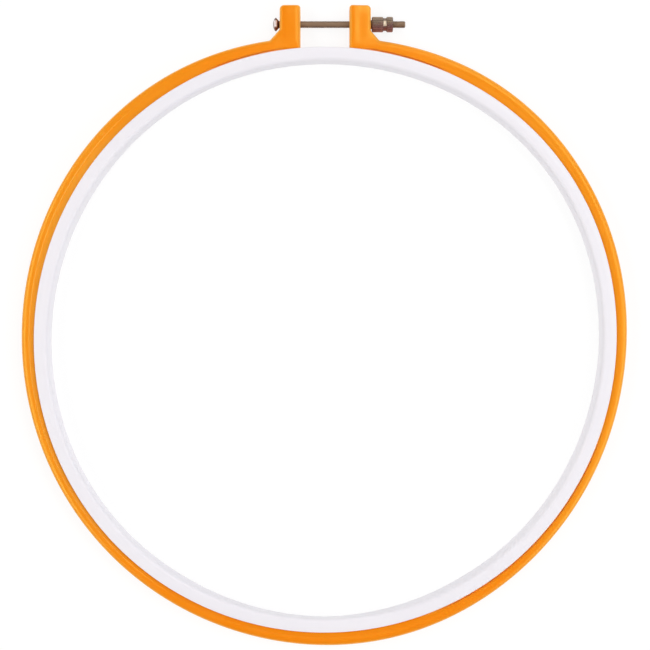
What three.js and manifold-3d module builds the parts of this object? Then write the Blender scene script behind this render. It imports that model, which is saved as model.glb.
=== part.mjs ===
// Screw-tension embroidery hoop of the 25 cm (10 inch) class.
//
// Millimetres, +Z up. The hoop lies flat: its back faces rest on z = 0 and its
// front faces point up. The clamp lugs are towards +Y, the screw runs along X
// with its head on the -X side and its thumb nut on the +X side.
// The origin is the middle of the bounding box in X and Y, at its lowest Z.

import * as THREE from 'three';
import * as BufferGeometryUtils from 'three/addons/utils/BufferGeometryUtils.js';
import Module from 'manifold-3d';

// ---------------------------------------------------------------- dimensions

// Where the middle of the rings lies in the part's frame.
const RING_CENTRE_X = 0.497;
const RING_CENTRE_Y = -6.093;

const RING_SEGMENTS = 120;

// Outer ring: mean outer radius, radial thickness and heights. It is a sprung,
// split moulding, so it sits a little out of round: each lobe is [waves per
// turn, amplitude, direction of a crest in degrees from +X].
const OUTER_RADIUS = 131.47;
const OUTER_THICKNESS = 6.75;
const OUTER_HEIGHT = 8.9;
const OUTER_BODY_WIDTH = 3.35; // crowned outer band, before the sloped facet
const OUTER_LOBES = [
  [1, 0.573, 136],
  [2, 0.565, 73],
  [3, 0.844, 33],
  [4, 0.468, 40],
  [5, 0.235, -16],
  [6, 0.103, -5],
  [7, 0.074, 13],
  [8, 0.052, 17],
];

// Inner ring: mean radius of the lip's edge, radial width of the front face,
// overhang of the lip past the wall, and heights.
const INNER_LIP_RADIUS = 125.95;
const INNER_WIDTH = 5.92;
const INNER_LIP_OVERHANG = 3.62;
const INNER_HEIGHT = 10.0;
const INNER_LIP_UNDERSIDE = 9.1;
const INNER_LOBES = [
  [2, 0.555, 61],
  [3, 0.235, 31],
  [4, 0.264, 37],
  [5, 0.072, -35],
  [6, 0.054, -22],
];

// The outer ring bends as it opens and closes. It is divided where it bends
// into a short base at the bottom and two arms, with narrow slits between them.
const BEND_FROM_BOTTOM_DEG = 10;
const SLIT = 0.3;

// Clamp lugs on the ends of the arms. Distances in X are from the middle of the
// ring. The flare is the slanted side by which a lug spreads into the ring.
const LUGS = {
  left: { side: -1, innerX: 10.82, outerX: 19.77, flareY: 133.7, flareX: 4.35, flareEndY: 128.8 },
  right: { side: 1, innerX: 10.39, outerX: 19.65, flareY: 133.25, flareX: 3.9, flareEndY: 128.7 },
};
const LUG_TOP_Y = 144.3;
const LUG_BEVEL = 0.5;
const LUG_OUTER_CORNER = 1.9;
const LUG_INNER_CORNER = 1.25;

// Clamp screw, M3 x 55 with a slotted raised countersunk head, and its holes.
// The left hole is larger, because the screw tips in it as the ring opens.
const SCREW_Y = 136.4;
const SCREW_Z = 4.45;
const SCREW_RADIUS = 1.5;
const SCREW_TIP_X = 34.6;
const SCREW_TIP_CHAMFER = 0.45;
const HEAD_RADIUS = 2.9; // raised countersunk head
const HEAD_OUTER_X = -22.65;
const HEAD_RIM_X = -21.6;
const HEAD_RIM_WIDTH = 0.25;
const HEAD_CONE_END_X = -20.05; // just short of the lug
const HEAD_SLOT_WIDTH = 0.8;
const HEAD_SLOT_DEPTH = 1.1;
const HOLE_RADIUS_LEFT = 2.0;
const HOLE_RADIUS_RIGHT = 1.75;

// Knurled thumb nut.
const NUT_START_X = 20.15;
const NUT_WAIST_START_X = 24.85;
const NUT_WAIST_END_X = 26.65;
const NUT_WAIST_SLOPE = 0.35;
const NUT_END_X = 29.26;
const NUT_RADIUS = 3.3;
const NUT_WAIST_RADIUS = 2.75;
const NUT_BORE_RADIUS = 1.62;
const NUT_BOSS_RADIUS = 1.95;
const NUT_BOSS_X = 19.95; // 0.3 mm off the lug
const NUT_KNURLS = 30;
const NUT_KNURL_DEPTH = 0.16;
const NUT_CHAMFER = 0.35;

const RAD = Math.PI / 180;

// ------------------------------------------------------------------ helpers

const wasm = await Module();
wasm.setup();

// A closed solid from a geometry: shared corners merged, slivers that
// collapsed at a pole dropped, faces turned outwards.
function solid(geometry) {
  const bare = geometry.clone();
  bare.deleteAttribute('normal');
  bare.deleteAttribute('uv');
  const merged = BufferGeometryUtils.mergeVertices(bare, 1e-4);
  const p = merged.attributes.position;
  const index = merged.index.array;
  const tris = [];
  let volume = 0;
  const a = new THREE.Vector3();
  const b = new THREE.Vector3();
  const c = new THREE.Vector3();
  for (let i = 0; i < index.length; i += 3) {
    const [u, v, w] = [index[i], index[i + 1], index[i + 2]];
    if (u === v || v === w || w === u) continue;
    tris.push(u, v, w);
    a.fromBufferAttribute(p, u);
    b.fromBufferAttribute(p, v);
    c.fromBufferAttribute(p, w);
    volume += a.dot(b.cross(c)) / 6;
  }
  if (volume < 0) {
    for (let i = 0; i < tris.length; i += 3) {
      [tris[i + 1], tris[i + 2]] = [tris[i + 2], tris[i + 1]];
    }
  }
  return new wasm.Manifold(
    new wasm.Mesh({
      numProp: 3,
      vertProperties: new Float32Array(p.array),
      triVerts: new Uint32Array(tris),
    })
  );
}

function geometryOf(manifold) {
  const mesh = manifold.getMesh();
  const geometry = new THREE.BufferGeometry();
  geometry.setAttribute(
    'position',
    new THREE.BufferAttribute(new Float32Array(mesh.vertProperties), 3)
  );
  geometry.setIndex(new THREE.BufferAttribute(new Uint32Array(mesh.triVerts), 1));
  geometry.computeVertexNormals();
  return geometry;
}

function lobesAt(lobes, angle) {
  return lobes.reduce(
    (sum, [waves, amplitude, crest]) =>
      sum + amplitude * Math.cos(waves * (angle - crest * RAD)),
    0
  );
}

// A ring about +Z with a closed section of [depth inwards from the outer edge,
// height] points, pushed out of round by its lobes.
function ring(radius, section, lobes) {
  const profile = section.map(([depth, z]) => new THREE.Vector2(radius - depth, z));
  profile.push(profile[0].clone());
  const geometry = new THREE.LatheGeometry(profile, RING_SEGMENTS);
  geometry.rotateX(Math.PI / 2);
  const p = geometry.attributes.position;
  for (let i = 0; i < p.count; i++) {
    const angle = Math.atan2(p.getY(i), p.getX(i));
    const r = Math.hypot(p.getX(i), p.getY(i)) + lobesAt(lobes, angle);
    p.setX(i, r * Math.cos(angle));
    p.setY(i, r * Math.sin(angle));
  }
  return solid(geometry);
}

// A prism over an outline in the XY plane.
function prism(points, z0, z1) {
  const shape = new THREE.Shape(points.map(([x, y]) => new THREE.Vector2(x, y)));
  const geometry = new THREE.ExtrudeGeometry(shape, {
    depth: z1 - z0,
    bevelEnabled: false,
  });
  geometry.translate(0, 0, z0);
  return solid(geometry);
}

// A solid of revolution about the screw's axis, from [x, radius] points that
// start and end on the axis, or close on themselves.
function turned(points, segments) {
  const profile = points.map(([x, r]) => new THREE.Vector2(r, x));
  const geometry = new THREE.LatheGeometry(profile, segments);
  geometry.rotateZ(-Math.PI / 2);
  geometry.translate(0, SCREW_Y, SCREW_Z);
  return solid(geometry);
}

// ---------------------------------------------------------------- outer ring

const T = OUTER_THICKNESS;
const B = OUTER_BODY_WIDTH;
const outerSection = [
  [0.6, 0],
  [0, 0.6],
  [0, OUTER_HEIGHT - 1.1],
  [0.4, OUTER_HEIGHT - 0.35],
  [1.2, OUTER_HEIGHT],
  [2.2, OUTER_HEIGHT],
  [B, OUTER_HEIGHT - 0.3],
  [T - 0.25, OUTER_HEIGHT - 0.7],
  [T, OUTER_HEIGHT - 1.0],
  [T, 0.6],
  [T - 0.6, 0],
];
const outerRing = ring(OUTER_RADIUS, outerSection, OUTER_LOBES);

// The outline of everything on one side of the gap and of one slit; side is -1
// for the left arm and 1 for the right one.
const slitAngle = (side) => (270 + side * BEND_FROM_BOTTOM_DEG) * RAD;
function slitPoint(side, distance, away) {
  const angle = slitAngle(side);
  return [
    distance * Math.cos(angle) - side * away * Math.sin(angle),
    distance * Math.sin(angle) + side * away * Math.cos(angle),
  ];
}

function armRegion({ side, innerX }) {
  return prism(
    [
      [side * innerX, 0],
      [side * innerX, 220],
      [side * 220, 220],
      [side * 220, -220],
      slitPoint(side, 230, SLIT / 2),
      slitPoint(side, 60, SLIT / 2),
    ],
    -1,
    20
  );
}

// Points along an arc, end points included, angles in degrees.
function arc(cx, cy, radius, from, to, steps) {
  return Array.from({ length: steps + 1 }, (_, i) => {
    const angle = (from + ((to - from) * i) / steps) * RAD;
    return [cx + radius * Math.cos(angle), cy + radius * Math.sin(angle)];
  });
}

function lug({ side, innerX, outerX, flareY, flareX, flareEndY }) {
  const x0 = innerX;
  const x1 = outerX;
  const seat = OUTER_RADIUS - B; // its foot is inside the ring's crowned band
  const footX = x1 + flareX - 0.3;
  const ci = LUG_INNER_CORNER;
  const co = LUG_OUTER_CORNER;
  const points = [
    ...arc(x0 + ci, LUG_TOP_Y - ci, ci, 180, 90, 3),
    ...arc(x1 - co, LUG_TOP_Y - co, co, 90, 0, 4),
    [x1, flareY],
    [x1 + flareX, flareEndY],
    ...arc(0, 0, seat, Math.acos(footX / seat) / RAD, Math.acos(x0 / seat) / RAD, 4),
  ];
  const shape = new THREE.Shape(points.map(([x, y]) => new THREE.Vector2(side * x, y)));
  const geometry = new THREE.ExtrudeGeometry(shape, {
    depth: OUTER_HEIGHT - 2 * LUG_BEVEL,
    bevelEnabled: true,
    bevelThickness: LUG_BEVEL,
    bevelSize: LUG_BEVEL,
    bevelOffset: -LUG_BEVEL,
    bevelSegments: 1,
  });
  geometry.translate(0, 0, LUG_BEVEL);
  return solid(geometry);
}

function lugHole(x0, x1, radius) {
  return turned(
    [
      [x0, 0],
      [x0, radius],
      [x1, radius],
      [x1, 0],
    ],
    32
  );
}

const outerRingBase = outerRing.intersect(
  prism([[0, 0], slitPoint(-1, 230, -SLIT / 2), slitPoint(1, 230, -SLIT / 2)], -1, 20)
);
const outerRingLeftArm = outerRing
  .intersect(armRegion(LUGS.left))
  .add(lug(LUGS.left))
  .subtract(lugHole(-30, 0, HOLE_RADIUS_LEFT));
const outerRingRightArm = outerRing
  .intersect(armRegion(LUGS.right))
  .add(lug(LUGS.right))
  .subtract(lugHole(0, 30, HOLE_RADIUS_RIGHT));

// ---------------------------------------------------------------- inner ring

const W = INNER_WIDTH;
const L = INNER_LIP_OVERHANG;
const innerSection = [
  [0.25, INNER_LIP_UNDERSIDE],
  [0, INNER_LIP_UNDERSIDE + 0.25],
  [0, INNER_HEIGHT - 0.4],
  [0.4, INNER_HEIGHT],
  [W - 1.6, INNER_HEIGHT],
  [W - 0.5, INNER_HEIGHT - 0.4],
  [W, INNER_HEIGHT - 1.5],
  [W, 0.5],
  [W - 0.4, 0],
  [L + 0.4, 0],
  [L, 0.4],
  [L, INNER_LIP_UNDERSIDE],
];
const innerRing = ring(INNER_LIP_RADIUS, innerSection, INNER_LOBES);

// --------------------------------------------------------------- clamp screw

const clampScrew = turned(
  [
    [HEAD_OUTER_X, 0],
    [HEAD_OUTER_X, 1.1],
    [HEAD_OUTER_X + 0.2, 1.75],
    [HEAD_OUTER_X + 0.55, 2.4],
    [HEAD_RIM_X - 0.2, HEAD_RADIUS - 0.1],
    [HEAD_RIM_X, HEAD_RADIUS],
    [HEAD_RIM_X + HEAD_RIM_WIDTH, HEAD_RADIUS],
    [HEAD_CONE_END_X, SCREW_RADIUS],
    [SCREW_TIP_X - SCREW_TIP_CHAMFER, SCREW_RADIUS],
    [SCREW_TIP_X, SCREW_RADIUS - SCREW_TIP_CHAMFER],
    [SCREW_TIP_X, 0],
  ],
  24
).subtract(
  (() => {
    const slot = new THREE.BoxGeometry(2 * HEAD_SLOT_DEPTH, 10, HEAD_SLOT_WIDTH);
    slot.translate(HEAD_OUTER_X, SCREW_Y, SCREW_Z);
    return solid(slot);
  })()
);

// ---------------------------------------------------------------- thumb nut

function knurledBar(x0, x1) {
  const shape = new THREE.Shape();
  for (let i = 0; i < 2 * NUT_KNURLS; i++) {
    const r = i % 2 ? NUT_RADIUS - NUT_KNURL_DEPTH : NUT_RADIUS;
    const angle = (i * Math.PI) / NUT_KNURLS;
    const point = [r * Math.cos(angle), r * Math.sin(angle)];
    if (i) shape.lineTo(...point);
    else shape.moveTo(...point);
  }
  const geometry = new THREE.ExtrudeGeometry(shape, {
    depth: x1 - x0,
    bevelEnabled: false,
  });
  geometry.rotateY(Math.PI / 2);
  geometry.translate(x0, SCREW_Y, SCREW_Z);
  return solid(geometry);
}

const C = NUT_CHAMFER;
const nutEnvelope = turned(
  [
    [NUT_START_X, 0],
    [NUT_START_X, NUT_RADIUS - C],
    [NUT_START_X + 0.6 * C, NUT_RADIUS + 0.05],
    [NUT_WAIST_START_X, NUT_RADIUS + 0.05],
    [NUT_WAIST_START_X + NUT_WAIST_SLOPE, NUT_WAIST_RADIUS],
    [NUT_WAIST_END_X - NUT_WAIST_SLOPE, NUT_WAIST_RADIUS],
    [NUT_WAIST_END_X, NUT_RADIUS + 0.05],
    [NUT_END_X - C, NUT_RADIUS + 0.05],
    [NUT_END_X, NUT_RADIUS - C],
    [NUT_END_X, 0],
  ],
  30
);
const clampNut = knurledBar(NUT_START_X - 0.5, NUT_END_X + 0.5)
  .intersect(nutEnvelope)
  .add(
    turned(
      [
        [NUT_BOSS_X, 0],
        [NUT_BOSS_X, NUT_BOSS_RADIUS],
        [NUT_START_X + 0.5, NUT_BOSS_RADIUS],
        [NUT_START_X + 0.5, 0],
      ],
      30
    )
  )
  .subtract(
    turned(
      [
        [NUT_BOSS_X - 1, 0],
        [NUT_BOSS_X - 1, NUT_BORE_RADIUS],
        [NUT_END_X + 1, NUT_BORE_RADIUS],
        [NUT_END_X + 1, 0],
      ],
      30
    )
  );

// ----------------------------------------------------------------- assembly

const orangePlastic = () =>
  new THREE.MeshStandardMaterial({ color: 0xf48a20, roughness: 0.42, metalness: 0 });
const whitePlastic = () =>
  new THREE.MeshStandardMaterial({ color: 0xf0edf4, roughness: 0.4, metalness: 0 });
const agedNickel = () =>
  new THREE.MeshStandardMaterial({ color: 0x7d6a5c, roughness: 0.35, metalness: 1 });

const group = new THREE.Group();
group.position.set(RING_CENTRE_X, RING_CENTRE_Y, 0);

function place(name, manifold, material) {
  const mesh = new THREE.Mesh(geometryOf(manifold), material);
  mesh.name = name;
  group.add(mesh);
}

place('outer_ring_base', outerRingBase, orangePlastic());
place('outer_ring_left_arm', outerRingLeftArm, orangePlastic());
place('outer_ring_right_arm', outerRingRightArm, orangePlastic());
place('inner_ring', innerRing, whitePlastic());
place('clamp_screw', clampScrew, agedNickel());
place('clamp_nut', clampNut, agedNickel());

export default group;
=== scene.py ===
"""Looks of a screw-tension embroidery hoop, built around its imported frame.

Shapes are worked out in millimetres about the middle of the rings, +X along the
clamp screw, +Y towards the lugs and +Z out of the front, then placed in metres.
"""

import math

import bmesh
import bpy
import numpy as np
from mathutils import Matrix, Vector
from mathutils.geometry import delaunay_2d_cdt


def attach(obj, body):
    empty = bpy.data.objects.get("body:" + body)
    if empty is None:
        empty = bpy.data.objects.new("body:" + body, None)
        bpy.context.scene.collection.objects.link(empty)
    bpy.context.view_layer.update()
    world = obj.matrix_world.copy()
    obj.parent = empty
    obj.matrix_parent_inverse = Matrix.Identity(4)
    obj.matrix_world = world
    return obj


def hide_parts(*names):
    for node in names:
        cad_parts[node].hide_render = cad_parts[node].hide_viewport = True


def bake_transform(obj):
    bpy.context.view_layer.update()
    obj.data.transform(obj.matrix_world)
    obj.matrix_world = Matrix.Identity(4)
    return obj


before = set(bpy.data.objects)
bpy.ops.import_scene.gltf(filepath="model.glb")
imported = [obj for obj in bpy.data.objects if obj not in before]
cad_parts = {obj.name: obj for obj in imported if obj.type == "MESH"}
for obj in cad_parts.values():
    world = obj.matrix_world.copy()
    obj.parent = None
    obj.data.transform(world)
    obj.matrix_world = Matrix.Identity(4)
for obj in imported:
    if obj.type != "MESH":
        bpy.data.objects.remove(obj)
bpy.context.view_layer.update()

# ------------------------------------------------------------------ dimensions

RING_CENTRE = (0.497, -6.093)

OUTER_RADIUS = 131.47
OUTER_THICKNESS = 6.75
OUTER_HEIGHT = 8.9
OUTER_LOBES = [
    (1, 0.573, 136),
    (2, 0.565, 73),
    (3, 0.844, 33),
    (4, 0.468, 40),
    (5, 0.235, -16),
    (6, 0.103, -5),
    (7, 0.074, 13),
    (8, 0.052, 17),
]
CROWN_WIDTH = 2.3  # the outer edge rounds over this far in from the side
CROWN_DROP = 1.45  # and down this far
BOTTOM_ROUND = 0.6
SHELF_START = 3.35  # the crown ends here in a small step down to the shelf
STEP_DROP = 0.33
STEP_WIDTH = 0.6
SHELF_SLOPE = 0.07
BORE_ROUND = 0.3

INNER_LIP_RADIUS = 125.95
INNER_LOBES = [
    (2, 0.555, 61),
    (3, 0.235, 31),
    (4, 0.264, 37),
    (5, 0.072, -35),
    (6, 0.054, -22),
]

# Lugs, by side: -1 is the left one, 1 the right one.
LUG_INNER_X = {-1: 10.82, 1: 10.39}
LUG_OUTER_X = {-1: 19.77, 1: 19.65}
LUG_TOP_Y = 144.3
LUG_FLARE_Y = {-1: 133.7, 1: 133.25}
LUG_FLARE_X = {-1: 4.35, 1: 3.9}
LUG_FLARE_END_Y = {-1: 128.8, 1: 128.7}
LUG_OUTER_CORNER = 1.9
LUG_GAP_CORNER = 1.25
LUG_EDGE_WIDTH = 1.2  # width of the rounding along the lug's edges
FLARE_FILLET = 1.3
SIDE_FILLET = 1.5

SCREW_Y = 136.4
SCREW_Z = 4.45
HOLE_RADIUS = {-1: 2.0, 1: 1.75}


def lobes(table, angle):
    return sum(a * np.cos(k * (angle - math.radians(c))) for k, a, c in table)


def outer_radius(angle):
    return OUTER_RADIUS + lobes(OUTER_LOBES, angle)


def lip_radius(angle):
    return INNER_LIP_RADIUS + lobes(INNER_LOBES, angle)


def smooth(x):
    x = np.clip(x, 0.0, 1.0)
    return x * x * (3 - 2 * x)


# -------------------------------------------------------------- mesh utilities


def place(points):
    """Millimetres about the ring's middle to metres in the part's frame."""
    p = np.array(points, float)
    p[:, 0] += RING_CENTRE[0]
    p[:, 1] += RING_CENTRE[1]
    return p * 0.001


def new_object(name, points, faces, material=None, sharp=32, recalc=True):
    mesh = bpy.data.meshes.new(name)
    mesh.from_pydata([tuple(p) for p in place(points)], [], faces)
    if recalc:
        bm = bmesh.new()
        bm.from_mesh(mesh)
        bmesh.ops.recalc_face_normals(bm, faces=bm.faces)
        bm.to_mesh(mesh)
        bm.free()
    mesh.update()
    obj = bpy.data.objects.new(name, mesh)
    bpy.context.scene.collection.objects.link(obj)
    finish_shading(obj, sharp)
    if material:
        mesh.materials.append(material)
    return obj


def finish_shading(obj, sharp):
    mesh = obj.data
    mesh.polygons.foreach_set("use_smooth", [True] * len(mesh.polygons))
    if sharp:
        mesh.set_sharp_from_angle(angle=math.radians(sharp))
    mesh.update()


def cut(obj, cutter):
    """obj minus cutter, exactly; the cutter is used up."""
    m = obj.modifiers.new("cut", "BOOLEAN")
    m.operation = "DIFFERENCE"
    m.solver = "EXACT"
    m.object = cutter
    bpy.context.view_layer.update()
    dg = bpy.context.evaluated_depsgraph_get()
    result = bpy.data.meshes.new_from_object(obj.evaluated_get(dg))
    obj.modifiers.clear()
    old = obj.data
    obj.data = result
    bpy.data.meshes.remove(old)
    used = cutter.data
    bpy.data.objects.remove(cutter)
    bpy.data.meshes.remove(used)
    bm = bmesh.new()
    bm.from_mesh(obj.data)
    bmesh.ops.remove_doubles(bm, verts=bm.verts, dist=2e-7)
    bmesh.ops.dissolve_degenerate(bm, edges=bm.edges, dist=1e-7)
    bm.to_mesh(obj.data)
    bm.free()
    obj.data.name = obj.name


def filleted(corners, steps=6, closed=True):
    """A polyline through [x, y, radius] corners, each rounded by an arc."""
    out = []
    n = len(corners)
    for i, (x, y, r) in enumerate(corners):
        p = np.array([x, y], float)
        if r <= 0 or (not closed and i in (0, n - 1)):
            out.append(p)
            continue
        a = np.array(corners[i - 1][:2], float) - p
        b = np.array(corners[(i + 1) % n][:2], float) - p
        a /= np.linalg.norm(a)
        b /= np.linalg.norm(b)
        half = math.acos(max(-1.0, min(1.0, float(a @ b)))) / 2
        reach = r / math.tan(half)
        middle = p + (a + b) / np.linalg.norm(a + b) * r / math.sin(half)
        start, end = p + a * reach - middle, p + b * reach - middle
        t0 = math.atan2(start[1], start[0])
        turn = math.atan2(end[1], end[0]) - t0
        turn = (turn + math.pi) % (2 * math.pi) - math.pi
        count = max(2, int(round(steps * abs(turn) / (math.pi / 2))) + 1)
        for k in range(count + 1):
            t = t0 + turn * k / count
            out.append(middle + r * np.array([math.cos(t), math.sin(t)]))
    return [tuple(float(v) for v in q) for q in out]


def ring_sweep(section, radius_at, stations):
    """A closed ring: section holds [depth in from the outer edge, z] points."""
    angles = np.linspace(0, 2 * math.pi, stations, endpoint=False)
    rad = radius_at(angles)
    points, faces = [], []
    for a, r in zip(angles, rad):
        c, s = math.cos(a), math.sin(a)
        points += [((r - d) * c, (r - d) * s, z) for d, z in section]
    n = len(section)
    for i in range(stations):
        j = (i + 1) % stations
        for k in range(n):
            m = (k + 1) % n
            faces.append((i * n + k, j * n + k, j * n + m, i * n + m))
    return points, faces


def turned(profile, segments, radius=None, closed=False):
    """A solid turned about the screw's axis from [x, r] points. radius(x, r,
    angles) may change each ring's radius round the axis. Ends on the axis, or
    closes on itself."""
    angles = np.linspace(0, 2 * math.pi, segments, endpoint=False)
    points, rings = [], []
    for i, (x, r) in enumerate(profile):
        if r < 1e-6:
            rings.append([len(points)])
            points.append((x, SCREW_Y, SCREW_Z))
            continue
        rr = np.full(segments, r) if radius is None else radius(i, x, r, angles)
        start = len(points)
        points += [
            (x, SCREW_Y + q * math.cos(a), SCREW_Z + q * math.sin(a))
            for a, q in zip(angles, rr)
        ]
        rings.append(list(range(start, start + segments)))
    faces = []
    pairs = list(zip(rings, rings[1:]))
    if closed:
        pairs.append((rings[-1], rings[0]))
    for a, b in pairs:
        for k in range(segments):
            m = (k + 1) % segments
            if len(a) == 1:
                faces.append((a[0], b[k], b[m]))
            elif len(b) == 1:
                faces.append((a[k], b[0], a[m]))
            else:
                faces.append((a[k], b[k], b[m], a[m]))
    return points, faces


# ------------------------------------------------------------------- materials


class Nodes:
    """A material's node tree, with short ways to make nodes and join them."""

    def __init__(self, name):
        self.material = bpy.data.materials.new(name)
        self.material.use_nodes = True
        self.tree = self.material.node_tree
        self.tree.nodes.clear()
        self.out = self.tree.nodes.new("ShaderNodeOutputMaterial")
        self.shader = self.tree.nodes.new("ShaderNodeBsdfPrincipled")
        self.join(self.shader.outputs[0], self.out.inputs["Surface"])
        self.coordinates = self.tree.nodes.new("ShaderNodeTexCoord").outputs["Object"]

    def join(self, a, b):
        self.tree.links.new(a, b)

    def put(self, socket, value):
        if isinstance(value, bpy.types.NodeSocket):
            self.join(value, socket)
        else:
            socket.default_value = value

    def math(self, operation, *values, clamp=False):
        n = self.tree.nodes.new("ShaderNodeMath")
        n.operation = operation
        n.use_clamp = clamp
        for socket, v in zip(n.inputs, values):
            self.put(socket, v)
        return n.outputs[0]

    def split(self, vector):
        n = self.tree.nodes.new("ShaderNodeSeparateXYZ")
        self.join(vector, n.inputs[0])
        return n.outputs[0], n.outputs[1], n.outputs[2]

    def combine(self, x, y, z):
        n = self.tree.nodes.new("ShaderNodeCombineXYZ")
        for socket, v in zip(n.inputs, (x, y, z)):
            self.put(socket, v)
        return n.outputs[0]

    def noise(self, vector, scale, detail=2.0, roughness=0.5, distortion=0.0):
        n = self.tree.nodes.new("ShaderNodeTexNoise")
        self.join(vector, n.inputs["Vector"])
        n.inputs["Scale"].default_value = scale
        n.inputs["Detail"].default_value = detail
        n.inputs["Roughness"].default_value = roughness
        n.inputs["Distortion"].default_value = distortion
        return n.outputs[0]

    def ramp(self, value, low, high, to_low=0.0, to_high=1.0):
        n = self.tree.nodes.new("ShaderNodeMapRange")
        n.interpolation_type = "SMOOTHSTEP"
        for socket, v in zip(n.inputs, (value, low, high, to_low, to_high)):
            self.put(socket, v)
        return n.outputs[0]

    def mix(self, factor, a, b):
        n = self.tree.nodes.new("ShaderNodeMix")
        n.data_type = "RGBA"
        self.put(n.inputs[0], factor)
        self.put(n.inputs[6], a)
        self.put(n.inputs[7], b)
        return n.outputs[2]

    def multiply(self, factor, a, b):
        n = self.tree.nodes.new("ShaderNodeMix")
        n.data_type = "RGBA"
        n.blend_type = "MULTIPLY"
        self.put(n.inputs[0], factor)
        self.put(n.inputs[6], a)
        self.put(n.inputs[7], b)
        return n.outputs[2]

    def bump(self, height, distance, strength=1.0, normal=None):
        n = self.tree.nodes.new("ShaderNodeBump")
        n.inputs["Strength"].default_value = strength
        n.inputs["Distance"].default_value = distance
        self.join(height, n.inputs["Height"])
        if normal is not None:
            self.join(normal, n.inputs["Normal"])
        return n.outputs[0]

    def facing(self):
        return self.tree.nodes.new("ShaderNodeNewGeometry").outputs["Normal"]

    def pointiness(self):
        return self.tree.nodes.new("ShaderNodeNewGeometry").outputs["Pointiness"]

    def polar(self, middle, along_scale, across_scale):
        """Coordinates that run round the ring and across it, so that a noise in
        them draws streaks the way the mould was turned."""
        x, y, z = self.split(self.coordinates)
        dx = self.math("SUBTRACT", x, middle[0])
        dy = self.math("SUBTRACT", y, middle[1])
        radius = self.math(
            "SQRT",
            self.math(
                "ADD",
                self.math("MULTIPLY", dx, dx),
                self.math("MULTIPLY", dy, dy),
            ),
        )
        # the direction as a point on a circle, so that nothing jumps at 180 degrees
        ux = self.math("DIVIDE", dx, radius)
        uy = self.math("DIVIDE", dy, radius)
        return (
            self.combine(
                self.math("MULTIPLY", ux, along_scale),
                self.math("MULTIPLY", uy, along_scale),
                self.math(
                    "ADD",
                    self.math("MULTIPLY", radius, across_scale),
                    self.math("MULTIPLY", z, across_scale),
                ),
            ),
            z,
        )


RING_MIDDLE_M = (RING_CENTRE[0] * 0.001, RING_CENTRE[1] * 0.001)


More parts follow.
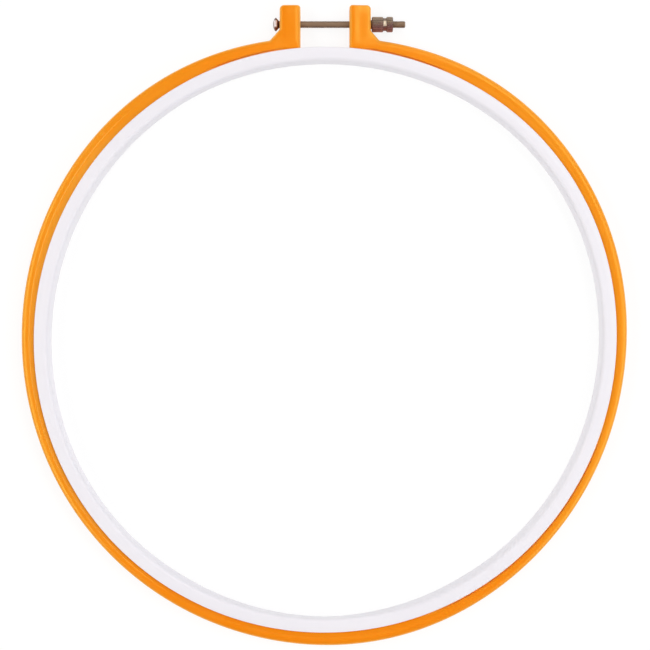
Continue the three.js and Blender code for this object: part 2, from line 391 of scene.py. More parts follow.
def moulded_plastic(
    name,
    colours,
    scuff,
    roughness,
    subsurface=None,
    low_darkening=None,
    sheen_colour=None,
    unworn=None,
    shoulder=None,
    painted_side_light=None,
):
    """colours are the pigment's two tones, its streaks and its specks. grime (a
    darkening low down), shoulder (painted highlight on the shoulders, ending with
    the colour of the painted light on the shelf) and fade (painted side light) are
    each a colour and how strong it gets. unworn is half the width, at the bottom
    of the ring, that the edge wear stays off."""
    n = Nodes(name)
    streaks, height = n.polar(RING_MIDDLE_M, 9.0, 2600.0)
    tone = n.noise(n.coordinates, 16.0, 3.0, 0.55)
    flow = n.noise(streaks, 1.0, 3.0, 0.6)
    speck = n.noise(n.coordinates, 1500.0, 2.0, 0.6)
    # slow drift of the pigment, faint streaks the way the melt ran, fine specks
    colour = n.mix(n.ramp(tone, 0.3, 0.7), (*colours[0], 1), (*colours[1], 1))
    colour = n.mix(n.ramp(flow, 0.45, 0.8, 0.0, 0.35), colour, (*colours[2], 1))
    colour = n.mix(n.ramp(speck, 0.66, 0.8, 0.0, 0.25), colour, (*colours[3], 1))
    if painted_side_light:
        # painted light: both sides of the ring, where the side lamps light it, are painted paler, less
        # at top and bottom
        x, y, _ = n.split(n.coordinates)
        aside = n.math("ABSOLUTE", n.math("SUBTRACT", x, RING_MIDDLE_M[0]))
        side_light_amount = n.math("MULTIPLY", n.ramp(aside, 0.028, 0.08), n.ramp(y, -0.118, -0.07))
        side_light_amount = n.math("MULTIPLY", side_light_amount, n.ramp(tone, 0.2, 0.6, 0.75, 1.0))
        colour = n.mix(n.math("MULTIPLY", side_light_amount, painted_side_light[1]), colour, (*painted_side_light[0], 1))
    if shoulder:
        # painted highlight: surfaces tilted from straight up, the rounded shoulders, are painted paler
        # than the flat tops
        _, _, up = n.split(n.facing())
        slope = n.ramp(up, 0.74, 0.988, 1.0, 0.0)
        painted_light_amount = n.ramp(tone, 0.2, 0.6, 0.8 * shoulder[1], shoulder[1])
        colour = n.mix(n.math("MULTIPLY", slope, painted_light_amount), colour, (*shoulder[0], 1))
        # and painted light on the shelf under the lip, painted paler against the lip's shade
        shelf = n.math(
            "MULTIPLY",
            n.ramp(height, 0.0082, 0.0086, 1.0, 0.0),
            n.ramp(height, 0.006, 0.0078),
        )
        colour = n.mix(n.math("MULTIPLY", shelf, painted_light_amount), colour, (*shoulder[2], 1))
    # handled edges are paler and duller
    worn = n.noise(n.coordinates, 210.0, 4.0, 0.65)
    edge = n.math(
        "MULTIPLY",
        n.ramp(n.pointiness(), 0.52, 0.57),
        n.ramp(worn, 0.45, 0.72),
        clamp=True,
    )
    if unworn:
        x, y, _ = n.split(n.coordinates)
        aside = n.math("ABSOLUTE", n.math("SUBTRACT", x, RING_MIDDLE_M[0]))
        away = n.math(
            "MAXIMUM", n.ramp(aside, unworn * 0.5, unworn), n.ramp(y, 0.0, 0.02)
        )
        edge = n.math("MULTIPLY", edge, away)
    colour = n.mix(n.math("MULTIPLY", edge, 0.4), colour, (*scuff, 1))
    if low_darkening:
        # darker in patches towards the bottom of the part
        low = n.ramp(height, 0.0002, 0.0022, 1.0, 0.0)
        patch = n.ramp(n.noise(n.coordinates, 60.0, 4.0, 0.6), 0.4, 0.8)
        colour = n.mix(
            n.math("MULTIPLY", n.math("MULTIPLY", low, patch), low_darkening[1]),
            colour,
            (*low_darkening[0], 1),
        )
    n.put(n.shader.inputs["Base Color"], colour)
    # short hairline scratches, most of them round the ring
    scratch_at, _ = n.polar(RING_MIDDLE_M, 60.0, 9000.0)
    scratch = n.ramp(n.noise(scratch_at, 1.0, 1.0, 0.4), 0.70, 0.76)
    sparse = n.ramp(n.noise(n.coordinates, 130.0, 2.0, 0.5), 0.5, 0.62)
    scratch = n.math("MULTIPLY", scratch, sparse)
    rough = n.math(
        "ADD",
        n.ramp(
            n.noise(n.coordinates, 60.0, 4.0, 0.6),
            0.25,
            0.75,
            roughness - 0.05,
            roughness + 0.06,
        ),
        n.math("MULTIPLY", n.math("ADD", scratch, edge), 0.12),
    )
    n.put(n.shader.inputs["Roughness"], rough)
    grain = n.noise(n.coordinates, 5200.0, 2.0, 0.55)
    waves = n.noise(n.coordinates, 130.0, 2.0, 0.5)
    normal = n.bump(waves, 0.00003, 1.0)
    normal = n.bump(flow, 0.000006, 1.0, normal)
    normal = n.bump(grain, 0.0000035, 1.0, normal)
    normal = n.bump(n.math("SUBTRACT", 1.0, scratch), 0.00001, 1.0, normal)
    n.put(n.shader.inputs["Normal"], normal)
    n.shader.inputs["IOR"].default_value = 1.49
    if sheen_colour:
        # the pigment shows through in the moulding's highlights
        n.shader.inputs["IOR"].default_value = 1.55
        n.shader.inputs["Specular IOR Level"].default_value = 1.0
        n.shader.inputs["Specular Tint"].default_value = (*sheen_colour, 1)
        n.shader.inputs["Sheen Weight"].default_value = 0.25
        n.shader.inputs["Sheen Roughness"].default_value = 0.35
        n.shader.inputs["Sheen Tint"].default_value = (1.0, 0.82, 0.35, 1)
    if subsurface:
        n.shader.inputs["Subsurface Weight"].default_value = subsurface[0]
        n.shader.inputs["Subsurface Radius"].default_value = subsurface[1]
        n.shader.inputs["Subsurface Scale"].default_value = subsurface[2]
    return n.material


AXIS_M = ((SCREW_Y + RING_CENTRE[1]) * 0.001, SCREW_Z * 0.001)


def aged_nickel(
    name,
    root,
    crest,
    radii,
    brass_radius,
    turned_lines,
    blotches=(0.45, 0.85),
    waist=None,
    painted_highlight=None,
    front=None,
    painted_reflection_shade=None,
):
    """Dark antique plating, rubbed paler where it stands proud. radii are the
    radii between which the plating goes from dark to rubbed, and blotches the
    noise's levels that leave it dark and leave it rubbed. Inside the radius waist
    it is half rubbed too. bright is a painted highlight on the top: where it
    starts and ends along the axis, half its width, and its colour. front is the
    colour of a painted highlight along the top of the shank, with the heights
    above the axis and the x from which it counts. stain is a painted reddish
    reflection and shade: its colour, the axis that it goes by (0 along, 1
    across), and where along that axis it is full and gone."""
    n = Nodes(name)
    x, y, z = n.split(n.coordinates)
    dy = n.math("SUBTRACT", y, AXIS_M[0])
    dz = n.math("SUBTRACT", z, AXIS_M[1])
    radius = n.math(
        "SQRT",
        n.math("ADD", n.math("MULTIPLY", dy, dy), n.math("MULTIPLY", dz, dz)),
    )
    patch = n.noise(n.coordinates, 900.0, 5.0, 0.65)
    fine = n.noise(n.coordinates, 5200.0, 3.0, 0.6)
    proud = n.ramp(radius, radii[0], radii[1])
    if waist:
        proud = n.math("MAXIMUM", proud, n.ramp(radius, waist, waist + 0.0001, 0.6, 0.0))
    mottle = n.math("ADD", patch, n.math("MULTIPLY", fine, 0.35))
    rubbed = n.math(
        "MULTIPLY", proud, n.ramp(mottle, blotches[0], blotches[1]), clamp=True
    )
    colour = n.mix(n.ramp(patch, 0.3, 0.7), (*root[0], 1), (*root[1], 1))
    colour = n.mix(rubbed, colour, (*crest, 1))
    brass = n.math(
        "MULTIPLY",
        n.ramp(radius, brass_radius - 0.00006, brass_radius + 0.00002),
        n.ramp(n.noise(n.coordinates, 1600.0, 3.0, 0.6), 0.56, 0.66),
        clamp=True,
    )
    colour = n.mix(n.math("MULTIPLY", brass, 0.7), colour, (0.62, 0.42, 0.17, 1))
    metal = n.ramp(patch, 0.3, 0.7, 0.42, 0.58)
    if front:
        # painted highlight: the shank's upper side, above the axis, is painted paler
        shade, low, high, start = front
        top_highlight_amount = n.math(
            "MULTIPLY", n.ramp(dz, low, high), n.ramp(x, start, start + 0.0003)
        )
        top_highlight_amount = n.math("MULTIPLY", top_highlight_amount, n.ramp(fine, 0.25, 0.65, 0.7, 1.0))
        colour = n.mix(top_highlight_amount, colour, (*shade, 1))
    if painted_reflection_shade:
        # painted reflection and shade: a darker reddish tint on the screw's head and neck next to the
        # lug, and on the nut's side towards the ring's middle
        shade, along, full, gone = painted_reflection_shade
        cloud = n.math("MULTIPLY", n.noise(n.coordinates, 420.0, 3.0, 0.6), 0.0024)
        where = n.math("ADD", dy if along else x, n.math("SUBTRACT", cloud, 0.0012))
        far = n.ramp(where, full, gone, 1.0, 0.0)
        far = n.math("MULTIPLY", far, n.ramp(patch, 0.25, 0.6, 0.6, 1.0))
        colour = n.multiply(far, colour, (*shade, 1))
    if painted_highlight:
        # painted highlight: a pale spot on the upper side of the screw head's rim and of the nut's
        # groove
        start, end, half, shade = painted_highlight
        highlight_amount = n.math(
            "MULTIPLY",
            n.ramp(x, start - 0.0001, start + 0.0002),
            n.ramp(x, end - 0.0002, end + 0.0001, 1.0, 0.0),
        )
        aside = n.ramp(n.math("ABSOLUTE", dy), half * 0.6, half * 1.2, 1.0, 0.0)
        highlight_amount = n.math("MULTIPLY", highlight_amount, aside)
        highlight_amount = n.math("MULTIPLY", highlight_amount, n.ramp(dz, 0.0002, 0.0009))
        highlight_amount = n.math("MULTIPLY", highlight_amount, n.ramp(fine, 0.2, 0.6, 0.8, 1.0))
        colour = n.mix(highlight_amount, colour, (*shade, 1))
    n.put(n.shader.inputs["Base Color"], colour)
    n.put(n.shader.inputs["Metallic"], metal)
    rough = n.math(
        "SUBTRACT",
        n.ramp(fine, 0.3, 0.7, 0.36, 0.5),
        n.math("MULTIPLY", rubbed, 0.1),
    )
    n.put(n.shader.inputs["Roughness"], rough)
    # turning marks run round the axis
    lines = n.noise(
        n.combine(n.math("MULTIPLY", x, turned_lines), n.math("MULTIPLY", radius, turned_lines), 0.0),
        1.0,
        2.0,
        0.6,
    )
    normal = n.bump(lines, 0.000004, 1.0)
    normal = n.bump(patch, 0.00001, 1.0, normal)
    n.put(n.shader.inputs["Normal"], normal)
    return n.material


orange = moulded_plastic(
    "orange_moulded_plastic",
    [
        (0.92, 0.236, 0.001),
        (0.935, 0.248, 0.0015),
        (0.9, 0.223, 0.001),
        (0.945, 0.28, 0.005),
    ],
    (0.96, 0.4, 0.06),
    0.34,
    subsurface=(0.15, (1.0, 0.4, 0.08), 0.0012),
    low_darkening=((0.5, 0.12, 0.006), 0.35),
    sheen_colour=(0.86, 0.86, 0.2),
    unworn=0.006,
    shoulder=((0.93, 0.43, 0.07), 0.6, (0.99, 0.43, 0.055)),
    painted_side_light=((0.9, 0.285, 0.008), 0.8),
)
white = moulded_plastic(
    "white_moulded_plastic",
    [
        (0.832, 0.81, 0.86),
        (0.845, 0.823, 0.87),
        (0.818, 0.796, 0.845),
        (0.775, 0.755, 0.8),
    ],
    (0.88, 0.86, 0.88),
    0.4,
    subsurface=(0.12, (1.0, 0.9, 0.85), 0.0009),
    low_darkening=((0.62, 0.57, 0.54), 0.22),
)
screw_metal = aged_nickel(
    "antique_nickel_screw",
    [(0.13, 0.085, 0.058), (0.18, 0.13, 0.09)],
    (0.3, 0.22, 0.16),
    (0.00128, 0.0015),
    0.00148,
    26000.0,
    painted_highlight=(
        (-22.3 + RING_CENTRE[0]) * 0.001,
        (-20.9 + RING_CENTRE[0]) * 0.001,
        0.0016,
        (0.95, 0.84, 0.82),
    ),
    front=(
        (0.44, 0.3, 0.2),
        0.0008,
        0.00135,
        (-20.1 + RING_CENTRE[0]) * 0.001,
    ),
    painted_reflection_shade=(
        (0.62, 0.3, 0.28),
        0,
        (-20.6 + RING_CENTRE[0]) * 0.001,
        (-19.4 + RING_CENTRE[0]) * 0.001,
    ),
)
nut_metal = aged_nickel(
    "antique_nickel_nut",
    [(0.06, 0.038, 0.03), (0.1, 0.066, 0.05)],
    (0.39, 0.285, 0.21),
    (0.00302, 0.00326),
    0.00328,
    14000.0,
    blotches=(0.1, 0.6),
    waist=0.00286,
    painted_highlight=(
        (25.1 + RING_CENTRE[0]) * 0.001,
        (26.4 + RING_CENTRE[0]) * 0.001,
        0.0012,
        (0.95, 0.78, 0.58),
    ),
    painted_reflection_shade=((0.86, 0.48, 0.64), 1, -0.0025, 0.0012),
)

# ------------------------------------------------------------------ outer ring

STATION_STEP = 0.6  # degrees
CROWN_ROWS = 9


def shelf_start(angle, from_top):
    """Where the crown steps down to the shelf. Next to the lugs it runs on to
    the inner ring's lip."""
    near = 1 - smooth((from_top - 13.0) / 15.0)
    lip = outer_radius(angle) - lip_radius(angle) * 1.002 - 0.22
    return SHELF_START + near * (np.clip(lip, 3.6, 4.9) - SHELF_START)


def crevice(angle):
    """How deep the shelf dips along the lip's edge, between the lugs' feet and
    the sides and again at the lower right, where a dark line shows."""
    turn = math.degrees(angle) % 360
    depth = 0.0
    for middle, half, deep in ((74.0, 10.0, 1.2), (106.0, 9.0, 1.0), (316.0, 30.0, 0.85)):
        depth = max(depth, deep * float(smooth((half - abs(turn - middle)) / (0.45 * half))))
    return depth


def lip_depth(angle):
    return outer_radius(angle) - lip_radius(angle) * 1.002


def step_strength(angle):
    """The step is crisp on the left of the ring and faint elsewhere."""
    turn = math.degrees(angle) % 360
    return 0.3 + 0.7 * float(smooth((58.0 - abs(turn - 181.0)) / 24.0))


def inner_rows(start, lip):
    """Depths from the crown's top to the bore, close together round the step
    and next to the lip's edge."""
    rise = start - STEP_WIDTH / 2 - CROWN_WIDTH
    rows = [CROWN_WIDTH + rise * f for f in (0, 0.3, 0.6, 0.85)]
    rows += [start + STEP_WIDTH * f for f in (-0.5, -0.38, -0.25, -0.12, 0, 0.12, 0.25, 0.38, 0.5)]
    last = start + STEP_WIDTH / 2
    end = OUTER_THICKNESS - BORE_ROUND
    lip = float(np.clip(lip, last + 0.9, end - 0.2))
    rows += [last + (lip - 0.75 - last) * f for f in (0.3, 0.7)]
    rows += [lip - back for back in (0.75, 0.6, 0.48, 0.36, 0.24, 0.12, -0.08)]
    rows += [end]
    rows += [end + BORE_ROUND * math.sin(math.radians(a)) for a in (20, 40, 60, 75, 90)]
    return rows


def crown_fall(depth, start, strength):
    """How far the top lies below its highest line, past the rounded edge."""
    ease = np.clip((depth - CROWN_WIDTH) / (start - STEP_WIDTH / 2 - CROWN_WIDTH), 0, 1)
    fall = 0.11 * ease * ease
    s = np.clip((depth - start) / STEP_WIDTH + 0.5, 0, 1)
    fall += STEP_DROP * strength * s * s * s * (s * (s * 6 - 15) + 10)
    u = depth - start - 0.1
    fall += SHELF_SLOPE * (np.sqrt(u * u + 0.02) + u) / 2
    e = np.clip(depth - (OUTER_THICKNESS - BORE_ROUND), 0, BORE_ROUND)
    fall += BORE_ROUND - np.sqrt(np.maximum(BORE_ROUND**2 - e * e, 0))
    return fall


def bore_rise(depth):
    e = np.clip(depth - (OUTER_THICKNESS - BORE_ROUND), 0, BORE_ROUND)
    return BORE_ROUND - np.sqrt(np.maximum(BORE_ROUND**2 - e * e, 0))


def edge_fall(d, width):
    s = np.clip(1 - d / width, 0, 1)
    return CROWN_DROP * (1 - np.sqrt(np.maximum(1 - s * s, 0)))


def bottom_rise(d):
    s = np.clip(BOTTOM_ROUND - d, 0, BOTTOM_ROUND)
    return BOTTOM_ROUND - np.sqrt(np.maximum(BOTTOM_ROUND**2 - s * s, 0))


# The lugs' faces fall softly from their middle: [distance from the hoop's middle
# where the fall starts, its width, its depth]. A negative width falls towards the
# gap.
PILLOW = {
    -1: [(13.1, -2.3, 0.42), (16.6, 3.2, 0.3)],
    1: [(12.3, -1.9, 0.24), (12.6, 2.6, 0.38), (17.1, 2.5, 0.08)],
}


def pillow(side, x, y):
    """x is measured away from the gap's middle."""
    fall = smooth((y - 139.5) / 4.2) * 0.2
    for start, width, depth in PILLOW[side]:
        fall = fall + depth * smooth((x - start) / width)
    return smooth((y - 126.5) / 4.0) * fall


class Plan:
    """Points over the XY plane, each with a top and a bottom height."""

    def __init__(self):
        self.xy, self.top, self.bottom, self.faces = [], [], [], []

    def add(self, x, y, top, bottom):
        self.xy.append((x, y))
        self.top.append(float(top))
        self.bottom.append(float(bottom))
        return len(self.xy) - 1

    def grid(self, a, b):
        """Faces between two rows of points."""
        for k in range(len(a) - 1):
            self.faces.append((a[k], a[k + 1], b[k + 1], b[k]))


def lug_contour(side):
    """The lug's outline from the ring's outer edge to the gap's lower end, as
    (x, y, outward x, outward y, share of the way) with x away from the gap's
    middle, and the angle from the top at which it leaves the ring."""
    x0, x1 = LUG_INNER_X[side], LUG_OUTER_X[side]
    flare_x, flare_y, flare_end_y = LUG_FLARE_X[side], LUG_FLARE_Y[side], LUG_FLARE_END_Y[side]
    low = np.array([x1 + flare_x, flare_end_y])
    high = np.array([x1, flare_y])
    along = (high - low) / np.linalg.norm(high - low)
    out = np.array([along[1], -along[0]])  # to the outside of the flare

    def ring_angle(from_top):
        return math.radians(90 - side * from_top)

    def fillet_middle(from_top):
        a = ring_angle(from_top)
        r = outer_radius(a) + FLARE_FILLET
        t = math.radians(from_top)
        return np.array([r * math.sin(t), r * math.cos(t)])

    lo, hi = 9.0, 16.0
    for _ in range(60):
        mid = (lo + hi) / 2
        if (fillet_middle(mid) - low) @ out < FLARE_FILLET:
            lo = mid
        else:
            hi = mid
    leave = (lo + hi) / 2
    c1 = fillet_middle(leave)
    samples = []  # x, y, nx, ny

    def arc(centre, radius, n0, n1, count, concave):
        t0 = math.atan2(n0[1], n0[0])
        turn = (math.atan2(n1[1], n1[0]) - t0 + math.pi) % (2 * math.pi) - math.pi
        for i in range(count + 1):
            t = t0 + turn * i / count
            n = np.array([math.cos(t), math.sin(t)])
            p = centre + n * (-radius if concave else radius)
            samples.append((p[0], p[1], n[0], n[1]))

    def line(a, b, n, count):
        for i in range(1, count):
            p = a + (b - a) * i / count
            samples.append((p[0], p[1], n[0], n[1]))

    t = math.radians(leave)
    ring_normal = np.array([math.sin(t), math.cos(t)])
    arc(c1, FLARE_FILLET, ring_normal, out, 8, True)
    # flare, then the fillet into the straight side
    turn = math.atan2(flare_x, flare_y - flare_end_y)
    reach = SIDE_FILLET * math.tan(turn / 2)
    side_normal = np.array([1.0, 0.0])
    f_end = high - along * reach
    c2 = f_end + out * SIDE_FILLET
    start = np.array(samples[-1][:2])
    line(start, f_end, out, max(3, int(np.linalg.norm(f_end - start) / 0.6)))
    arc(c2, SIDE_FILLET, out, side_normal, 8, True)
    co = np.array([x1 - LUG_OUTER_CORNER, LUG_TOP_Y - LUG_OUTER_CORNER])
    start = np.array(samples[-1][:2])
    line(start, np.array([x1, co[1]]), side_normal, 14)
    arc(co, LUG_OUTER_CORNER, side_normal, np.array([0.0, 1.0]), 12, False)
    cg = np.array([x0 + LUG_GAP_CORNER, LUG_TOP_Y - LUG_GAP_CORNER])
    line(np.array([co[0], LUG_TOP_Y]), np.array([cg[0], LUG_TOP_Y]), np.array([0.0, 1.0]), 10)
    arc(cg, LUG_GAP_CORNER, np.array([0.0, 1.0]), np.array([-1.0, 0.0]), 12, False)
    foot = math.sqrt((outer_radius(ring_angle(4.7)) - CROWN_WIDTH) ** 2 - x0**2)
    line(
        np.array([x0, cg[1]]),
        np.array([x0, foot]),
        np.array([-1.0, 0.0]),
        18,
    )
    return samples, leave


def outer_half(side, name):
    plan = Plan()
    gap_x = LUG_INNER_X[side]
    contour, leave = lug_contour(side)
    turns = [math.radians(90 * k / CROWN_ROWS) for k in range(CROWN_ROWS + 1)]

    def heights(x, y, d, width):
        """Top and bottom at a point, d in from the outline."""
        angle = math.atan2(y, side * x)
        from_top = math.degrees(math.atan2(x, y))
        depth = outer_radius(angle) - math.hypot(x, y)
        start = shelf_start(angle, abs(from_top))
        top = OUTER_HEIGHT - pillow(side, x, y) - edge_fall(d, width)
        if depth > CROWN_WIDTH:
            top -= crown_fall(depth, start, step_strength(angle))
            near = (depth - lip_depth(angle) + 0.34) / 0.22
            top -= crevice(angle) * math.exp(-near * near)
        return top, max(bottom_rise(d), bore_rise(depth))

    def add(x, y, d, width):
        top, bottom = heights(x, y, d, width)
        return plan.add(side * x, y, top, bottom)

    # columns up the ring, from the seam at the bottom to where the lug leaves
    count = int(round((180 - leave) / STATION_STEP))
    columns = []
    for i in range(count + 1):
        beta = math.radians((180 - leave) * i / count)
        angle = -math.pi / 2 + side * beta
        r = outer_radius(angle)
        ux, uy = math.sin(beta), -math.cos(beta)
        start = shelf_start(angle, 180 - math.degrees(beta))
        depths = [CROWN_WIDTH * (1 - math.cos(t)) for t in turns]
        rows = depths[:-1] + inner_rows(start, lip_depth(angle))
        columns.append([add((r - q) * ux, (r - q) * uy, min(q, 99), CROWN_WIDTH) for q in rows])
    for a, b in zip(columns, columns[1:]):
        plan.grid(a, b)

    # the ring's inner band runs on under the lug to the gap
    K = CROWN_ROWS
    gap = [LUG_EDGE_WIDTH * (1 - math.cos(t)) for t in turns]  # depths at the gap
    r_mid = outer_radius(math.radians(90)) - 4.0
    first = math.degrees(math.asin((gap_x + LUG_EDGE_WIDTH) / r_mid))
    steps = 20
    stations = []
    for i in range(1, steps + 1):
        f = i / steps
        from_top = leave + (first - leave) * f
        x_line = r_mid * math.sin(math.radians(from_top))
        if i == steps:
            x_line = gap_x + LUG_EDGE_WIDTH
        stations.append((from_top, x_line, float(smooth(f)), 99.0))
    for k in range(K - 1, -1, -1):
        x_line = gap_x + gap[k]
        from_top = math.degrees(math.asin(x_line / r_mid))
        stations.append((from_top, x_line, 1.0, gap[k]))
    band = [columns[-1][K:]]
    n_rows = len(band[0])
    for from_top, x_line, blend, d in stations:
        row = []
        for j in range(n_rows):
            t = math.radians(from_top)
            for _ in range(4):
                angle = math.pi / 2 - side * t
                start = shelf_start(angle, math.degrees(t))
                rho = outer_radius(angle) - inner_rows(start, lip_depth(angle))[j]
                t = (1 - blend) * math.radians(from_top) + blend * math.asin(x_line / rho)
            if blend >= 1:
                x, y = x_line, math.sqrt(rho * rho - x_line * x_line)
            else:
                x, y = rho * math.sin(t), rho * math.cos(t)
            row.append(add(x, y, d, LUG_EDGE_WIDTH))
        band.append(row)
    for a, b in zip(band, band[1:]):
        plan.grid(a, b)

    # the rounded edge round the lug's outline, from the ring to the gap's foot
    edge = [columns[-1][: K + 1]]
    lengths = [0.0]
    for p, q in zip(contour, contour[1:]):
        lengths.append(lengths[-1] + math.dist(p[:2], q[:2]))
    for (x, y, nx, ny), s in list(zip(contour, lengths))[1:]:
        width = CROWN_WIDTH + (LUG_EDGE_WIDTH - CROWN_WIDTH) * float(smooth(s / 9.0))
        edge.append(
            [
                add(x - nx * width * (1 - math.cos(t)), y - ny * width * (1 - math.cos(t)), width * (1 - math.cos(t)), width)
                for t in turns
            ]
        )
    last = [band[-1 - k][0] for k in range(K + 1)]
    edge.append(last)
    for a, b in zip(edge, edge[1:]):
        plan.grid(a, b)

    # the lug's face
    border = [row[0] for row in band[: len(band) - K]]
    border += [row[K] for row in edge[-2:0:-1]]
    outline = [plan.xy[i] for i in border]
    inside = []
    pts = np.array(outline)
    spacing = 0.62
    for gy in np.arange(126.0, 144.6, spacing):
        for gx in np.arange(10.0, 26.0, spacing):
            x, y = gx + (0.5 * spacing if int(round(gy / spacing)) % 2 else 0), gy
            q = np.array([side * x, y])
            if np.min(np.hypot(*(pts - q).T)) < 0.42:
                continue
            if within(q, pts):
                inside.append((side * x, y))
    start = len(plan.xy)
    for x, y in inside:
        top, bottom = heights(abs(x), y, 99.0, 1.0)
        plan.add(x, y, top, bottom)
    ids = border + list(range(start, start + len(inside)))
    got = delaunay_2d_cdt(
        [Vector(plan.xy[i]) for i in ids], [], [list(range(len(border)))], 1, 1e-7
    )
    back = [ids[o[0]] if o else None for o in got[3]]
    if any(b is None for b in back):
        raise RuntimeError("the lug's face made a point of its own")
    for f in got[2]:
        plan.faces.append(tuple(back[v] for v in f))

    # lift the plan into a closed solid
    n = len(plan.xy)
    xy = np.array(plan.xy)
    points = [(x, y, z) for (x, y), z in zip(plan.xy, plan.top)]
    points += [(x, y, z) for (x, y), z in zip(plan.xy, plan.bottom)]
    faces = [f for f in plan.faces] + [tuple(v + n for v in reversed(f)) for f in plan.faces]
    rim = [c[0] for c in columns] + [row[0] for row in edge[1:]]
    rim_inner = [r_[1] for r_ in columns] + [row[1] for row in edge[1:]]
    outer_count = len(rim)
    rim += band[-1][1:]
    rim += [row[-1] for row in reversed(band[:-1])]
    rim += [c[-1] for c in reversed(columns[:-1])]
    # a faint parting line runs round the outside
    shares = [0.0, 0.12, 0.32, 0.465, 0.488, 0.5, 0.512, 0.535, 0.68, 0.88, 1.0]
    proud = [0, 0, 0, 0, 0.012, 0.03, 0.012, 0, 0, 0, 0]
    wall = []
    for k, v in enumerate(rim):
        top, bottom = points[v], points[v + n]
        normal = np.zeros(2)
        if k < outer_count - 24:
            normal = xy[v] - xy[rim_inner[k]]
            normal = normal / (np.linalg.norm(normal) or 1)
        column = [v]
        for f, bulge in list(zip(shares, proud))[1:-1]:
            z = top[2] + (bottom[2] - top[2]) * f
            points.append((top[0] + normal[0] * bulge, top[1] + normal[1] * bulge, z))
            column.append(len(points) - 1)
        column.append(v + n)
        wall.append(column)
    for a, b in zip(wall, wall[1:]):
        for k in range(len(a) - 1):
            faces.append((a[k], a[k + 1], b[k + 1], b[k]))
    # the seam's end, one flat face across the section
    seam = columns[0]
    cap = list(seam) + wall[-1][1:-1] + [v + n for v in reversed(seam)] + list(reversed(wall[0][1:-1]))
    faces.append(tuple(cap))

    obj = new_object(name, points, faces, None, sharp=None)
    # the screw's hole, its two edges just broken
    r = HOLE_RADIUS[side]
    x0, x1 = LUG_INNER_X[side], LUG_OUTER_X[side]
    cutter_points, cutter_faces = turned(
        [
            (side * (x0 - 1.0), 0),
            (side * (x0 - 1.0), r + 1.25),
            (side * (x0 + 0.25), r),
            (side * (x1 - 0.25), r),
            (side * (x1 + 1.0), r + 1.25),
            (side * (x1 + 1.0), 0),
        ],
        64,
    )
    cutter = new_object(name + "_cutter", cutter_points, cutter_faces)
    cut(obj, cutter)
    finish_shading(obj, 33)
    obj.data.materials.clear()
    obj.data.materials.append(orange)
    return obj


def within(q, polygon):
    """True if point q lies inside the polygon."""
    x, y = q
    a, b = polygon, np.roll(polygon, -1, axis=0)
    crosses = (a[:, 1] > y) != (b[:, 1] > y)
    with np.errstate(divide="ignore", invalid="ignore"):
        at = a[:, 0] + (y - a[:, 1]) * (b[:, 0] - a[:, 0]) / (b[:, 1] - a[:, 1])
    return int(np.sum(crosses & (x < at))) % 2 == 1


outer_left = outer_half(-1, "outer_ring_left_half")
outer_right = outer_half(1, "outer_ring_right_half")

# ------------------------------------------------------------------ inner ring

inner_section = filleted(
    [
        (0.0, 9.1, 0.25),
        (0.0, 9.94, 0.4),
        (2.3, 10.0, 6.0),
        (5.92, 9.9, 1.75),
        (5.92, 5.0, 0.0),
        (5.92, 0.0, 0.45),
        (3.62, 0.0, 0.4),
        (3.62, 4.5, 0.0),
        (3.62, 9.1, 0.35),
    ],
    steps=8,
)
# How far the bore's back edge leans from straight below its front edge, towards
# the ring's middle: [degrees round the ring, mm].
BORE_LEAN = [
    (0, 0.0),
    (30, 0.0),
    (90, 0.0),
    (120, -0.15),
    (150, 0.25),
    (180, 0.0),
    (210, -0.3),
    (240, 0.0),
    (255, -0.4),
    (270, -0.85),
    (285, -0.2),
    (300, 0.35),
    (330, 0.25),
    (360, 0.0),
]


def leaning(point):
    """The point, moved with the bore's lean if it lies on the bore."""
    x, y, z = point
    angle, r = math.atan2(y, x), math.hypot(x, y)
    if lip_radius(angle) - r < 4.8 or z >= 9.0:
        return point
    turns, lean = zip(*BORE_LEAN)
    moved = r - float(np.interp(math.degrees(angle) % 360, turns, lean)) * (1 - z / 9.0)
    return (x * moved / r, y * moved / r, z)


points, faces = ring_sweep(inner_section, lip_radius, 720)
points = [leaning(p) for p in points]
inner_ring = new_object("inner_ring_moulding", points, faces, white, sharp=40)

# ----------------------------------------------------------------- clamp screw

PITCH = 0.5
THREAD_DEPTH = 0.22
CREST = 1.5
TIP_X = 34.6
THREAD_FROM = -18.9


def thread_radius(index, x, r, angles):
    """The M3 x 0.5 thread, cut into the shaft as a right-hand helix."""
    if x < THREAD_FROM - 0.4:
        return np.full(len(angles), r)
    phase = (x / PITCH - angles / (2 * math.pi)) % 1.0
    u = np.abs(phase - 0.5) * 2  # 0 in the root, 1 on the crest
    flank = np.clip((u - 0.08) / 0.5, 0, 1)
    depth = THREAD_DEPTH * (1 - flank) * smooth((x - THREAD_FROM + 0.4) / 0.8)
    return np.minimum(CREST - depth, r)


head = [
    (-22.65, 0.0),
    (-22.64, 0.4),
    (-22.61, 0.8),
    (-22.56, 1.15),
    (-22.47, 1.5),
    (-22.36, 1.85),
    (-22.22, 2.15),
    (-22.06, 2.42),
    (-21.9, 2.62),
    (-21.76, 2.77),
    (-21.66, 2.86),
    (-21.56, 2.895),
    (-21.46, 2.9),
    (-21.38, 2.875),
    (-21.31, 2.82),
    (-21.24, 2.74),
    (-20.85, 2.32),
    (-20.45, 1.89),
    (-20.22, 1.65),
    (-20.12, 1.56),
    (-20.02, 1.51),
    (-19.92, 1.5),
]
shaft = list(head)
x = -19.85
while x < TIP_X - 0.42:
    shaft.append((x, CREST))
    x += PITCH / 10
shaft += [
    (TIP_X - 0.38, 1.48),
    (TIP_X - 0.3, 1.41),
    (TIP_X - 0.2, 1.31),
    (TIP_X - 0.1, 1.21),
    (TIP_X - 0.03, 1.13),
    (TIP_X, 1.05),
    (TIP_X, 0.5),
    (TIP_X, 0.0),
]
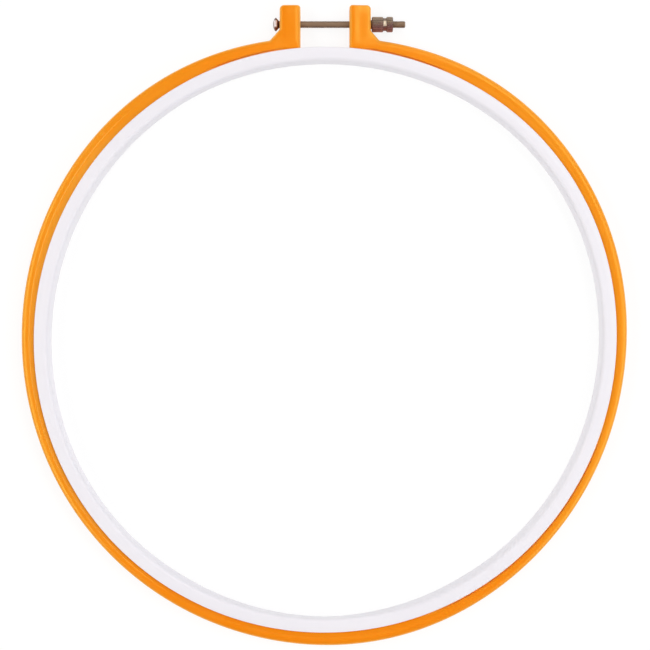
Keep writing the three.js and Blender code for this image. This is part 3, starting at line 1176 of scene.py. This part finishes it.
points, faces = turned(shaft, 40, thread_radius)
screw = new_object("clamp_screw_threaded", points, faces, None, sharp=None)
slot_half, slot_floor = 0.4, -21.6
corners = [
    (sx, SCREW_Y + sy, SCREW_Z + sz)
    for sx in (-24.0, slot_floor)
    for sy in (-4.0, 4.0)
    for sz in (-slot_half, slot_half)
]
cutter = new_object(
    "slot_cutter",
    corners,
    [(0, 1, 3, 2), (4, 6, 7, 5), (0, 4, 5, 1), (2, 3, 7, 6), (0, 2, 6, 4), (1, 5, 7, 3)],
)
cut(screw, cutter)
finish_shading(screw, 38)
screw.data.materials.clear()
screw.data.materials.append(screw_metal)

# ------------------------------------------------------------------- thumb nut

KNURLS = 24
KNURL_DEPTH = 0.3


def knurled(index, x, r, angles):
    weight = knurl_weight[index]
    if weight <= 0:
        return np.full(len(angles), r)
    u = np.abs((angles * KNURLS / (2 * math.pi)) % 1.0 - 0.5) * 2
    groove = 1 - smooth(np.clip(u / 0.62, 0, 1))
    return np.minimum(r, 3.3) - KNURL_DEPTH * groove * weight


# [x, radius, how deep the knurling is]
nut_profile = [
    (19.72, 1.66, 0),
    (19.72, 1.86, 0),
    (19.76, 1.93, 0),
    (19.9, 1.95, 0),
    (20.08, 1.95, 0),
    (20.14, 2.0, 0),
    (20.15, 2.4, 0),
    (20.16, 2.8, 0),
    (20.2, 2.95, 0.1),
    (20.27, 3.07, 0.45),
    (20.36, 3.19, 0.85),
    (20.44, 3.27, 1),
    (20.54, 3.3, 1),
    (21.5, 3.3, 1),
    (22.6, 3.3, 1),
    (23.8, 3.3, 1),
    (24.68, 3.3, 1),
    (24.78, 3.27, 1),
    (24.87, 3.19, 0.9),
    (24.95, 3.07, 0.6),
    (25.03, 2.95, 0.2),
    (25.11, 2.84, 0),
    (25.21, 2.77, 0),
    (25.4, 2.75, 0),
    (25.75, 2.75, 0),
    (26.1, 2.75, 0),
    (26.29, 2.77, 0),
    (26.39, 2.84, 0),
    (26.47, 2.95, 0.2),
    (26.55, 3.07, 0.6),
    (26.63, 3.19, 0.9),
    (26.72, 3.27, 1),
    (26.82, 3.3, 1),
    (27.6, 3.3, 1),
    (28.3, 3.3, 1),
    (28.88, 3.3, 1),
    (28.97, 3.27, 1),
    (29.06, 3.19, 0.85),
    (29.15, 3.07, 0.45),
    (29.22, 2.95, 0.1),
    (29.26, 2.83, 0),
    (29.26, 2.4, 0),
    (29.26, 1.95, 0),
    (29.2, 1.87, 0),
    (28.95, 1.6, 0),
    (28.8, 1.56, 0),
    (26.0, 1.56, 0),
    (22.0, 1.56, 0),
    (20.1, 1.56, 0),
    (19.9, 1.58, 0),
]
knurl_weight = [p[2] for p in nut_profile]
points, faces = turned([p[:2] for p in nut_profile], 360, knurled, closed=True)
nut = new_object("clamp_nut_knurled", points, faces, nut_metal, sharp=50)

# ------------------------------------------------------- bodies and nodes

MM = 0.001


def at(x, y, z):
    return ((x + RING_CENTRE[0]) * MM, (y + RING_CENTRE[1]) * MM, z * MM)


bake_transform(outer_left)
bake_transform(outer_right)
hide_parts("outer_ring_base", "outer_ring_left_arm")
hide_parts("outer_ring_base", "outer_ring_right_arm")
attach(inner_ring, "inner_ring")
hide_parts("inner_ring")
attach(screw, "clamp_screw")
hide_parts("clamp_screw")
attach(nut, "clamp_nut")
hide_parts("clamp_nut")

# ----------------------------------------------------------------------- stage

floor_mesh = bpy.data.meshes.new("floor")
h = 3.0
floor_mesh.from_pydata(
    [(-h, -h, -0.0001), (h, -h, -0.0001), (h, h, -0.0001), (-h, h, -0.0001)],
    [],
    [(0, 1, 2, 3)],
)
floor = bpy.data.objects.new("floor", floor_mesh)
bpy.context.scene.collection.objects.link(floor)
n = Nodes("pale_floor")
n.shader.inputs["Base Color"].default_value = (0.15, 0.15, 0.15, 1)
n.shader.inputs["Roughness"].default_value = 0.9
n.shader.inputs["Specular IOR Level"].default_value = 0.0
n.shader.inputs["Emission Color"].default_value = (1, 1, 1, 1)
n.shader.inputs["Emission Strength"].default_value = 0.86
floor_mesh.materials.append(n.material)


def softbox(name, azimuth, elevation, distance, size, power, glossy=True, colour=(1, 1, 1)):
    data = bpy.data.lights.new(name, "AREA")
    data.shape = "RECTANGLE"
    data.size, data.size_y = size
    data.energy = power
    data.color = colour
    obj = bpy.data.objects.new(name, data)
    bpy.context.scene.collection.objects.link(obj)
    a, e = math.radians(azimuth), math.radians(elevation)
    direction = Vector(
        (math.cos(a) * math.cos(e), math.sin(a) * math.cos(e), math.sin(e))
    )
    obj.location = direction * distance
    obj.rotation_mode = "QUATERNION"
    obj.rotation_quaternion = direction.to_track_quat("Z", "Y")
    obj.visible_glossy = glossy
    return obj


softbox("right_softbox", -22, 40, 1.4, (1.3, 0.5), 7)
softbox("right_high_softbox", 45, 60, 1.5, (1.2, 0.5), 6)
softbox("left_softbox", 186, 46, 1.5, (1.7, 0.5), 11, colour=(1.0, 0.98, 0.93))
softbox("top_low_softbox", 70, 28, 1.5, (1.6, 0.4), 3)
softbox("overhead_fill", 270, 72, 2.0, (2.4, 2.4), 4.2, glossy=False)

world = bpy.data.worlds.new("studio")
bpy.context.scene.world = world
world.use_nodes = True
background = world.node_tree.nodes["Background"]
background.inputs["Color"].default_value = (0.99, 0.99, 1.0, 1)
background.inputs["Strength"].default_value = 0.27
world.cycles_visibility.glossy = False

camera_data = bpy.data.cameras.new("camera")
camera_data.sensor_width = 36.0
camera_data.lens = 79.86
camera_data.clip_start = 0.01
camera_data.clip_end = 20.0
camera = bpy.data.objects.new("camera", camera_data)
bpy.context.scene.collection.objects.link(camera)
camera.location = (0.000328, -0.000016, 0.63)
bpy.context.scene.camera = camera

bpy.context.scene.view_settings.view_transform = "Standard"
bpy.context.scene.view_settings.look = "None"
